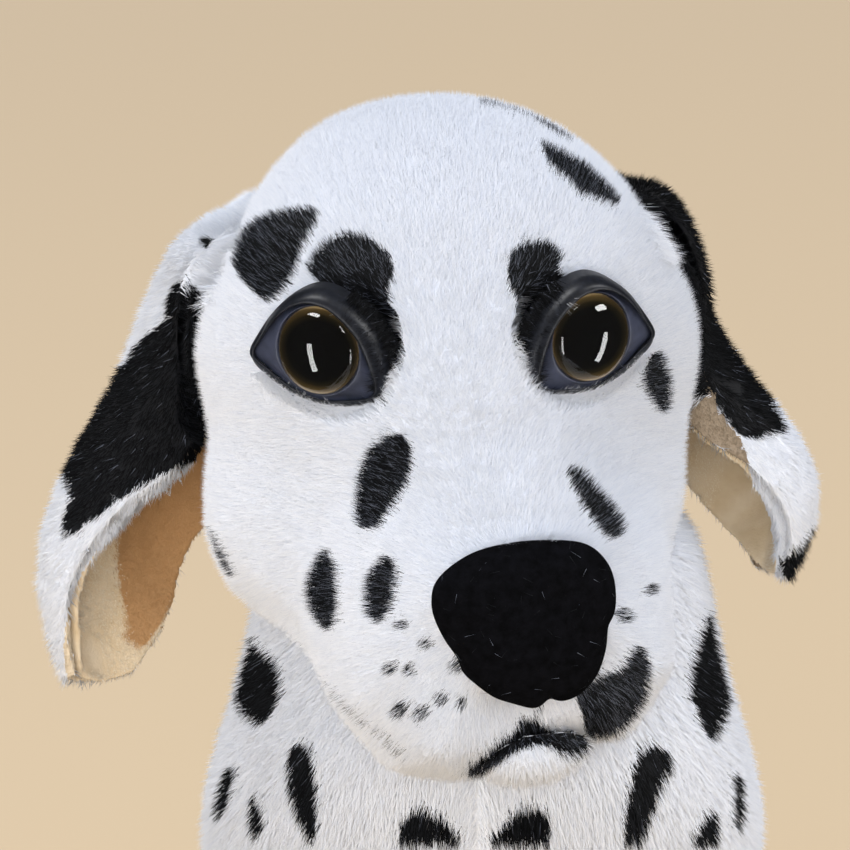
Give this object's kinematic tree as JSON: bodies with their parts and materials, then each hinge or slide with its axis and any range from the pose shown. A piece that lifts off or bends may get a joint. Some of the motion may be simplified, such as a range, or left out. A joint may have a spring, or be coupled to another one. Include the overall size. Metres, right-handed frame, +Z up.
{
  "type": "plush dog",
  "caption": "Sitting stuffed toy dog with short white pile and dark spots, floppy lined ears that lift, a head that turns on its neck seam and a tail that wags.",
  "frame": {"origin": "middle of the flat seat under the rump, on the surface that the dog sits on", "axes": "+Z up, the dog faces -Y, and its left side is +X"},
  "size_m": [0.1922, 0.3451, 0.3389],
  "materials": {
    "white_plush": "short dense pile, white with dark spots",
    "velour_lining": "short tan velour",
    "lid_vinyl": "satin black vinyl",
    "eye_plastic": "glossy dark slate",
    "iris_paint": "painted brown ring and black pupil",
    "clear_dome": "clear polished plastic",
    "nose_flock": "black flocked",
    "washer_plastic": "moulded natural plastic"
  },
  "bodies": {
    "body": {"torso": "white_plush", "thigh_left": "white_plush", "thigh_right": "white_plush", "hind_paw_left": "white_plush", "hind_paw_right": "white_plush", "front_leg_left": "white_plush", "front_leg_right": "white_plush", "front_paw_left": "white_plush", "front_paw_right": "white_plush"},
    "head": {"head": "white_plush", "chin": "white_plush", "nose": "nose_flock", "nose_washer": "washer_plastic", "eye_left_lid": "lid_vinyl", "eye_left_ball": "eye_plastic", "eye_left_iris": "iris_paint", "eye_left_lens": "clear_dome", "eye_left_washer": "washer_plastic", "eye_right_lid": "lid_vinyl", "eye_right_ball": "eye_plastic", "eye_right_iris": "iris_paint", "eye_right_lens": "clear_dome", "eye_right_washer": "washer_plastic"},
    "ear_left": {"ear_left_outer": "white_plush", "ear_left_lining": "velour_lining"},
    "ear_right": {"ear_right_outer": "white_plush", "ear_right_lining": "velour_lining"},
    "tail": {"tail": "white_plush"}
  },
  "joints": [
    {"name": "head_turn", "type": "hinge", "parent": "body", "child": "head", "pos_m": [0, -0.088, 0.232], "axis": [0, 0, 1], "range_deg": [-15, 15], "stiffness_Nm_per_rad": 0.15},
    {"name": "ear_left_lift", "type": "hinge", "parent": "head", "child": "ear_left", "pos_m": [0.03352, -0.08016, 0.31366], "axis": [0.2368, -0.965, -0.1127], "range_deg": [0, 75]},
    {"name": "ear_right_lift", "type": "hinge", "parent": "head", "child": "ear_right", "pos_m": [-0.05404, -0.08559, 0.31067], "axis": [0.1077, 0.9864, 0.1244], "range_deg": [0, 75]},
    {"name": "tail_wag", "type": "hinge", "parent": "body", "child": "tail", "pos_m": [0, 0.053, 0.0146], "axis": [0, 0, 1], "range_deg": [-35, 35], "stiffness_Nm_per_rad": 0.02}
  ]
}
